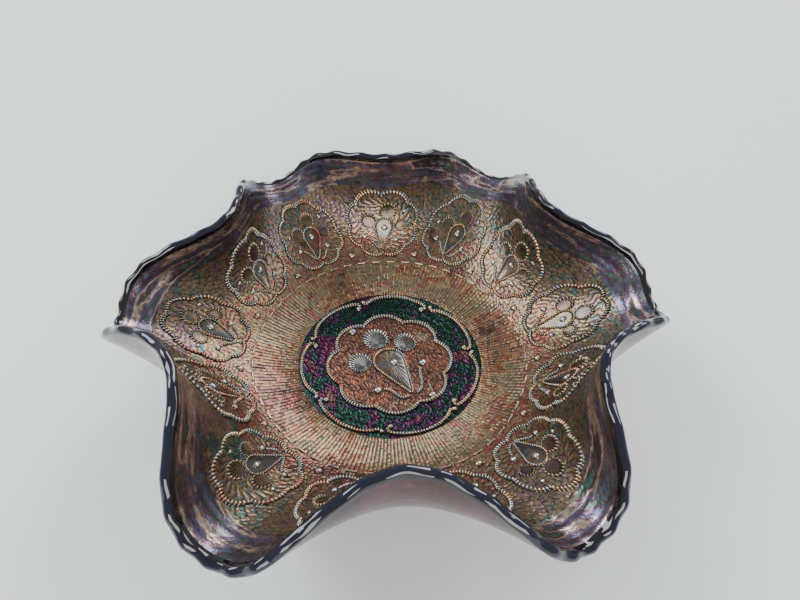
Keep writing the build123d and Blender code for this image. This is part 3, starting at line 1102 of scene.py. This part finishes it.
# ================================================================ sub-assemblies
@dataclass
class Wall:
    """The wall of the bowl as closed rings, one above the other."""

    band_top: float = 0.3
    field_split: float = 0.57
    field_top: float = 0.84
    plain_top: float = 0.975
    crack_depth: float = 0.2
    cell_height: float = 2.0
    line_depth: float = 0.2
    ripple: float = 0.06

    def build(self) -> None:
        """Make every ring of the wall and dress it."""
        threading = Threading()
        crackle, leafing = Crackle(around=232, rows=64, seed=5, crack=0.09), Leafing()

        def band(rise: Array, angle: Array) -> tuple[Array, Array]:
            """Threads cut in the lowest ring."""
            radius, _ = FORM.section(rise)
            cut = threading.cuts(angle - FIRST_MEDALLION, rise * FORM.wall_length, radius)
            # The cut also marks where painted shade darkens the threads.
            return -self.line_depth * cut, cut

        def field(rise: Array, angle: Array) -> tuple[Array, Array]:
            """Cracks and leaf strokes cut behind the medallions."""
            warp = 0.25 * np.sin(rise * 55 + 9 * angle)
            across = (angle % tau) / tau * crackle.around + warp
            cut = crackle.cracks(across, rise * FORM.wall_length / self.cell_height)
            leaf, within = leafing.cuts(rise, angle)
            cut = np.maximum(cut * (1 - 0.8 * within), leaf)
            # The cut also marks where painted shade darkens the cracks and strokes.
            return -self.crack_depth * cut, cut

        def plain(rise: Array, angle: Array) -> tuple[Array, Array]:
            """Faint ripples left in the plain ring by the ruffling tool."""
            height = rise * FORM.wall_length
            wave = np.sin(height * 1.1 + 2 * np.sin(3 * angle))
            wave = wave + 0.6 * np.sin(height * 2.3 + 4 * np.sin(2 * angle))
            return self.ripple * wave, np.zeros_like(rise)

        band_top, split, field_top = self.band_top, self.field_split, self.field_top
        wall = "iridised_wall"
        rings = (
            ("wall_threaded_ring", 1456, 0.0, band_top, 54, band, BAND_FILM, "iridised_band",
             "threaded_band"),
            ("wall_field_lower", 1300, band_top, split, 56, field, LOWER_FILM, wall, "bowl_wall"),
            ("wall_field_upper", 1300, split, field_top, 56, field, UPPER_FILM, wall, "bowl_wall"),
            ("wall_plain_ring", 1300, field_top, self.plain_top, 30, plain, PLAIN_FILM, wall, "ruffled_wall"),
        )
        outer = OUTER_FILM.material()
        for name, columns, low, high, rows, relief, film, slot, node in rings:
            inside = np.linspace(low, high, rows + 1)
            outside = np.linspace(high, low, 7)
            piece = ring_solid(name, columns, inside, outside, relief)
            finished(piece, film.material(), slot, node)
            self.dress_outside(piece, outer)

    def dress_outside(self, piece: bpy.types.Object, outer: bpy.types.Material) -> None:
        """Give the outside faces of a ring the outside film.

        Args:
            piece: the ring.
            outer: the outside film.
        """
        piece.data.materials.append(outer)
        inner = np.empty(len(piece.data.vertices), np.float32)
        piece.data.attributes["inner"].data.foreach_get("value", inner)
        first = np.empty(len(piece.data.polygons), np.int32)
        piece.data.polygons.foreach_get("loop_start", first)
        corners = np.empty(len(piece.data.loops), np.int32)
        piece.data.loops.foreach_get("vertex_index", corners)
        outside = (inner[corners[first]] + inner[corners[first + 2]]) < 0.5
        piece.data.polygons.foreach_set("material_index", outside.astype(np.int32))
        piece.data.update()


@dataclass
class Rim:
    """The fire-polished edge: a thick rounded lip with shallow scallops."""

    start: float = 0.975
    shoulder: float = 0.987
    lip_rise: float = 0.99
    lip: float = 1.35
    scallops: int = 72
    scallop_depth: float = 0.4
    pinch: float = 0.35
    side_rows: int = 6
    lip_rows: int = 13
    columns: int = 1440

    def build(self) -> None:
        """Make the lip and dress it."""
        sides, over = self.side_rows, self.lip_rows
        straight = np.linspace(self.start, self.shoulder, sides)
        turn = np.linspace(-pi / 2, pi / 2, over + 2)[1:-1]
        rises = np.concatenate((straight, np.full(over, self.lip_rise), straight[::-1], straight[:1]))
        depths = np.concatenate((np.zeros(sides), 0.5 + 0.5 * np.sin(turn), np.ones(sides), np.zeros(1)))
        lips = np.concatenate((np.zeros(sides), np.cos(turn), np.zeros(sides + 1)))

        def shape(s: Array, t: Array) -> tuple[Array, dict]:
            """Wrap the grid into the lip: s runs around the bowl and t over the edge."""
            row = np.round(t * (len(rises) - 1)).astype(int)
            angle = s * tau
            points = FORM.glass(rises[row], angle, depths[row])
            top, below = np.full_like(s, 1.0), np.full_like(s, 0.99)
            along = FORM.glass(top, angle, top * 0.5) - FORM.glass(below, angle, top * 0.5)
            along = along / np.linalg.norm(along, axis=-1, keepdims=True)
            scallop = np.cos(self.scallops * angle)
            reach = lips[row] * (self.lip + self.scallop_depth * scallop)
            pinch = -self.pinch * (1 - scallop) / 2 * np.sign(depths[row] - 0.5) * lips[row]
            points = points + along * reach[:, None]
            points = points + FORM.inward(rises[row], angle) * pinch[:, None]
            return points, {"lip": lips[row]}

        piece = wrapped_grid("rim_lip", self.columns, len(rises) - 1, shape)
        close_seams(piece)
        finished(smoothed(piece), PolishedEdge().material(), "cobalt_rim", "rim_edge")


@dataclass
class Well:
    """The floor of the bowl and the ring that it stands on."""

    crack_depth: float = 0.16
    cells: int = 290

    def build(self) -> None:
        """Make the floor and the foot, and dress them."""
        self.floor()
        self.foot()

    def floor(self) -> None:
        """Pecked floor: a round plate with its pattern cut in."""
        crackle, stipple = Crackle(44, 44, 3, crack=0.08), Crackle(84, 64, 9, crack=0.14)
        radius = FORM.floor_radius

        def shape(s: Array, t: Array) -> tuple[Array, dict]:
            """Turn the square grid into a disc and cut the pattern in it."""
            u, v = 2 * s - 1, 2 * t - 1
            x = radius * u * np.sqrt(1 - v**2 / 2)
            y = radius * v * np.sqrt(1 - u**2 / 2)
            reach, angle = np.hypot(x, y), np.arctan2(y, x)
            warp = 0.3 * np.sin(x * 0.9) * np.sin(y * 0.8)
            coarse = crackle.cracks(x / 2.1 + 22 + warp, y / 2.1 + 22 - warp)
            fine = stipple.cracks(angle / tau * 84 + 84 + 0.35 * np.sin(reach * 1.7), reach / 2.9)
            ring = self.in_ring(reach, angle)
            cut = np.where(ring, fine, coarse)
            lift = -self.crack_depth * cut * np.clip((radius - reach) / 0.8, 0, 1)
            # The cut also marks where painted shade darkens the cracks.
            return floor_place(x, y, lift), {"groove_shade": cut}

        piece = wrapped_grid("well_plate", self.cells, self.cells, shape)
        deselect_all()
        piece.select_set(True)
        bpy.context.view_layer.objects.active = piece
        bpy.ops.object.mode_set(mode="EDIT")
        bpy.ops.mesh.select_all(action="DESELECT")
        bpy.ops.mesh.select_mode(type="EDGE")
        bpy.ops.mesh.select_non_manifold()
        drop = (FORM.foot_height - FORM.floor_top) * MM
        bpy.ops.mesh.extrude_region_move(TRANSFORM_OT_translate={"value": (0, 0, drop)})
        sink = (FORM.recess_depth - FORM.foot_height) * MM
        bpy.ops.mesh.extrude_region_move()
        bpy.ops.transform.resize(value=(0.75, 0.75, 1), center_override=(0, 0, FORM.foot_height * MM))
        bpy.ops.mesh.extrude_region_move(TRANSFORM_OT_translate={"value": (0, 0, sink)})
        bpy.ops.mesh.edge_face_add()
        bpy.ops.object.mode_set(mode="OBJECT")
        close_seams(piece)
        smoothed(piece, radians(40))
        finished(piece, CENTRE_FILM.material(), "iridised_floor", "well_floor")
        self.dress(piece)

    def in_ring(self, reach: Array, angle: Array) -> Array:
        """Tell which points lie outside the cartouche.

        Args:
            reach: distances from the middle of the well.
            angle: angles around it.

        Returns:
            True for each point in the ring.
        """
        return reach > lobed_reach(angle, CARTOUCHE_RADIUS, CARTOUCHE_NOTCH, 8, CARTOUCHE_TURN)

    def dress(self, piece: bpy.types.Object) -> None:
        """Give the ring around the cartouche its own film, and the underside the outer one.

        Args:
            piece: the floor.
        """
        piece.data.materials.append(RING_FILM.material())
        piece.data.materials.append(OUTER_FILM.material())
        middles = np.empty(3 * len(piece.data.polygons))
        piece.data.polygons.foreach_get("center", middles)
        middles = middles.reshape(-1, 3) / MM
        reach, angle = np.hypot(middles[:, 0], middles[:, 1]), np.arctan2(middles[:, 1], middles[:, 0])
        ring = self.in_ring(reach, angle)
        under = middles[:, 2] < FORM.foot_height + 0.1
        choice = np.where(under, 2, np.where(ring, 1, 0)).astype(np.int32)
        piece.data.polygons.foreach_set("material_index", choice)
        piece.data.update()

    def foot(self) -> None:
        """Ground collar under the well, with softened edges."""
        low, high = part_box("foot_ring")
        outer, inner = high[0] / MM, 29.7
        section = ((inner + 0.8, 0.5), (inner + 1.4, 0), (outer - 1.5, 0), (outer - 0.8, 0.6),
                   (outer, FORM.foot_height), (inner, FORM.foot_height))
        corners = np.array(section)

        def shape(s: Array, t: Array) -> tuple[Array, dict]:
            """Wrap the grid into the collar: s runs around it and t around its section."""
            at = t * len(corners)
            index = np.floor(at).astype(int) % len(corners)
            share = (at - np.floor(at))[:, None]
            spot = corners[index] * (1 - share) + corners[(index + 1) % len(corners)] * share
            angle = s * tau
            radius, height = spot.T
            points = np.stack((radius * np.cos(angle), radius * np.sin(angle), height), axis=-1)
            return points, {"groove_shade": np.zeros_like(s)}

        piece = wrapped_grid("foot_collar", 256, 4 * len(corners), shape)
        close_seams(piece)
        finished(smoothed(piece, radians(40)), OUTER_FILM.material(), "base_glass", "foot_ring")


@dataclass
class Motif:
    """A paisley with petals, curls and beads. Every spot is an x, y and radius in millimetres.

    tip and end are the two circles that the teardrop is drawn around.
    """

    tip: Spot
    end: Spot
    petals: tuple[Spot, ...]
    curls: tuple[Route, ...]
    beads: tuple[Spot, ...]
    rope_width: float
    rope_height: float
    feathers: int
    strand: float = 0.95
    curl_share: float = 1.4
    petal_height: float = 0.85
    point_gap: float = 0.17

    def paisleys(self) -> list[bpy.types.Object]:
        """Draw the roped teardrop and its filling."""
        length = perimeter(drop_outline(self.tip, self.end, 60))
        route = drop_outline(self.tip, self.end, round(length / self.point_gap))
        return [rope(route, True, self.rope_width, self.rope_height, strand=self.strand),
                drop_fill(self.tip, self.end, 0.25)]

    def blooms(self) -> list[bpy.types.Object]:
        """Draw the petals."""
        return [petal(spot, self.tip[:2], self.petal_height, self.feathers) for spot in self.petals]

    def hooks(self) -> list[bpy.types.Object]:
        """Draw the curls."""
        width = self.rope_width * self.curl_share
        lines = [flowing(route, 70) for route in self.curls]
        return [rope(line, False, width, self.rope_height, strand=self.strand) for line in lines]

    def drops(self) -> list[bpy.types.Object]:
        """Draw the beads."""
        return [bead(spot, 0.7 * spot[2]) for spot in self.beads]


@dataclass
class Medallions:
    """The thirteen medallions of the wall, and the marks below them."""

    radius: float = 16.2
    notch: float = 1.7
    motif: Motif | None = None

    def __post_init__(self) -> None:
        """Lay out the motif."""
        self.motif = Motif(
            tip=(-0.8, -10.4, 0.9), end=(1.0, -0.4, 4.2),
            petals=((-5.9, 2.6, 3.6), (2.6, 7.4, 3.8), (8.6, 0.2, 3.0)),
            curls=(((-1.2, -12.2), (-3.6, -9.4), (-5.2, -7.0), (-7.0, -5.6)),
                   ((0.4, -12.2), (2.4, -11.6), (4.2, -9.8), (5.4, -8.0))),
            beads=((-8.4, -5.2, 1.3), (6.4, -6.9, 1.3), (1.0, -0.6, 1.6), (-11.0, 2.2, 0.9),
                   (9.6, 6.8, 0.9)),
            rope_width=1.15, rope_height=0.8, feathers=16)

    def build(self) -> None:
        """Make the ropes and motifs, copied around the wall, and dress them."""
        edge = lobed_outline(self.radius, self.notch, 8, pi / 8, 560)
        places = medallion_places()
        rope_film, leaf, bright = ROPE_FILM.material(), LEAF_FILM.material(), BRIGHT_FILM.material()
        frame_rope = wrapped("medallion_ropes", [rope(edge, True, 2.2, 1.1, strand=1.2)], places)
        finished(frame_rope, rope_film, "rope_relief", "medallion_outlines")
        for name, draw, film, slot, node in (
            ("medallion_drops", self.motif.paisleys, rope_film, "rope_relief", "medallion_paisleys"),
            ("medallion_feathers", self.motif.blooms, leaf, "bright_relief", "medallion_petals"),
            ("medallion_hooks", self.motif.hooks, rope_film, "rope_relief", "medallion_curls"),
            ("medallion_pearls", self.motif.drops, bright, "bright_relief", "medallion_beads"),
        ):
            finished(wrapped(name, draw(), places), film, slot, node)
        self.marks(leaf)

    def marks(self, film: bpy.types.Material) -> None:
        """Make the star beads between the medallions and the dashes above the threads.

        Args:
            film: the finish of both.
        """
        gaps = FIRST_MEDALLION + (np.arange(MEDALLIONS) + 0.5) * MEDALLION_PITCH
        stars = [wall_place(heading, STAR_MIDDLE) for heading in gaps]
        pearls = wrapped("star_pearls", [bead((0, 0, 1.7), 1.0, rays=8)], stars)
        finished(pearls, film, "bright_relief", "star_beads")
        quarters = FIRST_MEDALLION + (np.arange(4 * MEDALLIONS) + 0.5) * MEDALLION_PITCH / 4
        bars = [wall_place(heading, DASH_MIDDLE) for heading in quarters]
        line = flowing(((-2.3, 0), (0, 0), (2.3, 0)), 20)
        dashes = wrapped("dash_bars", [rope(line, False, 1.2, 0.6, strand=0)], bars)
        finished(dashes, film, "bright_relief", "dash_marks")


@dataclass
class Centre:
    """The scroll ring, cartouche and paisley in the well."""

    scrolls: int = 7
    scroll_radius: float = 37.0

    def build(self) -> None:
        """Make the centre's relief and dress it."""
        rope_film, bright = ROPE_FILM.material(), BRIGHT_FILM.material()
        edge = lobed_outline(CARTOUCHE_RADIUS, CARTOUCHE_NOTCH, 8, CARTOUCHE_TURN, 900)
        motif = Motif(
            tip=(9.6, -14.4, 0.9), end=(-0.2, 1.2, 6.8),
            petals=((-7.2, 13.4, 5.8), (6.4, 12.4, 5.2), (-13.2, -0.6, 5.2)),
            curls=(((9.4, -17.0), (6.0, -18.2), (3.2, -16.4), (0.4, -14.4), (-2.2, -14.2)),
                   ((12.0, -15.6), (13.9, -12.6), (14.0, -8.6), (13.2, -4.6), (13.4, -1.6))),
            beads=((-4.4, -14.9, 1.8), (14.2, 1.0, 1.8), (1.7, 0.6, 1.8), (-17.7, 16.2, 1.8),
                   (18.4, -16.5, 1.8)),
            rope_width=1.4, rope_height=0.95, feathers=22)
        frame_rope = rope(edge, True, 2.2, 1.1, strand=1.2)
        for name, drawn, film, slot, node in (
            ("cartouche_rope", [frame_rope], rope_film, "rope_relief", "centre_cartouche"),
            ("scroll_ropes", self.scroll_ring(), rope_film, "rope_relief", "scroll_ring"),
            ("centre_drop", motif.paisleys(), rope_film, "rope_relief", "centre_paisley"),
            ("centre_feathers", motif.blooms(), bright, "bright_relief", "centre_petals"),
            ("centre_hooks", motif.hooks(), rope_film, "rope_relief", "centre_curls"),
            ("centre_pearls", motif.drops(), bright, "bright_relief", "centre_beads"),
        ):
            finished(wrapped(name, drawn, [floor_place]), film, slot, node)

    def scroll_ring(self) -> list[bpy.types.Object]:
        """Draw seven roped scrolls, each curled in around a bead at both ends."""
        bends = ((0.07, 3.4), (0.035, 2.2), (0.06, 0.6), (0.16, -0.2), (0.32, -0.9), (0.5, -1.2),
                 (0.68, -0.9), (0.82, 0.1), (0.92, 1.5), (0.965, 0.6))
        drawn = []
        for index in range(self.scrolls):
            start = radians(12) + index * tau / self.scrolls
            route = []
            for share, drop in bends:
                angle, radius = start + share * tau / self.scrolls, self.scroll_radius - drop
                route.append((radius * cos(angle), radius * sin(angle)))
            drawn.append(rope(flowing(tuple(route), 170), False, 2.0, 1.1, strand=1.2))
            drawn.append(bead((*route[0], 1.3), 1.2))
            drawn.append(bead((*route[-1], 1.0), 1.1))
        return drawn


# ================================================================ stage
@dataclass
class Stage:
    """Pale floor, soft daylight and the camera."""

    eye: tuple[float, float, float] = (3.1, -172.4, 223.2)
    down: float = radians(45.78)
    roll: float = 0.0455
    lens: float = 28.38

    def build(self) -> None:
        """Add the floor, lights, world and camera."""
        self.floor()
        self.light("window_left", (-1.0, 0.35, 1.0), 0.7, 16.0, (0.90, 0.95, 1.0))
        self.light("window_back", (0.45, 1.25, 1.0), 0.7, 14.0, (0.97, 0.98, 1.0))
        self.light("window_side", (1.1, 0.5, 0.8), 0.45, 4.0, (0.92, 0.96, 1.0))
        self.light("room_front", (0.1, -1.5, 0.75), 1.1, 31.0, (1.0, 0.98, 0.96))
        world = bpy.data.worlds.new("pale_room")
        bpy.context.scene.world = world
        world.use_nodes = True
        world.node_tree.nodes["Background"].inputs["Color"].default_value = (0.80, 0.82, 0.84, 1)
        world.node_tree.nodes["Background"].inputs["Strength"].default_value = 0.72
        self.camera()

    def floor(self) -> None:
        """Large plain floor under the bowl."""
        deselect_all()
        bpy.ops.mesh.primitive_plane_add(size=6)
        floor = bpy.context.object
        floor.name = "pale_floor"
        material = bpy.data.materials.new("pale_paper")
        material.use_nodes = True
        shader = material.node_tree.nodes["Principled BSDF"]
        shader.inputs["Base Color"].default_value = (0.80, 0.83, 0.82, 1)
        shader.inputs["Roughness"].default_value = 0.7
        floor.data.materials.append(material)

    def light(
        self, name: str, place: tuple[float, float, float], size: float, power: float,
        colour: tuple[float, float, float]
    ) -> None:
        """Add a square soft light that faces the bowl.

        Args:
            name: the light's name.
            place: where it hangs, in metres.
            size: length of its side, in metres.
            power: its power, in watts.
            colour: its colour.
        """
        lamp = bpy.data.lights.new(name, "AREA")
        lamp.size, lamp.energy, lamp.color = size, power, colour
        lamp_object = bpy.data.objects.new(name, lamp)
        bpy.context.collection.objects.link(lamp_object)
        lamp_object.location = place
        lamp_object.rotation_euler = (-Vector(place)).to_track_quat("-Z", "Y").to_euler()

    def camera(self) -> None:
        """Camera that looks down on the bowl from the front."""
        data = bpy.data.cameras.new("camera")
        data.lens, data.sensor_width, data.clip_start = self.lens, 36, 0.01
        camera = bpy.data.objects.new("camera", data)
        bpy.context.collection.objects.link(camera)
        ahead = Vector((0, cos(self.down), -sin(self.down)))
        right = Vector((1, 0, 0))
        up = right.cross(ahead)
        axes = Matrix((right, up, -ahead)).transposed()
        turn = axes @ Matrix.Rotation(self.roll, 3, "Z")
        camera.matrix_world = Matrix.Translation(Vector(self.eye) * MM) @ turn.to_4x4()
        bpy.context.scene.camera = camera


def main() -> None:
    """Build the bowl and its stage."""
    for assembly in (Stage(), Wall(), Rim(), Well(), Medallions(), Centre()):
        assembly.build()
        log.info("%s done", type(assembly).__name__)


if __name__ == "__main__":
    main()
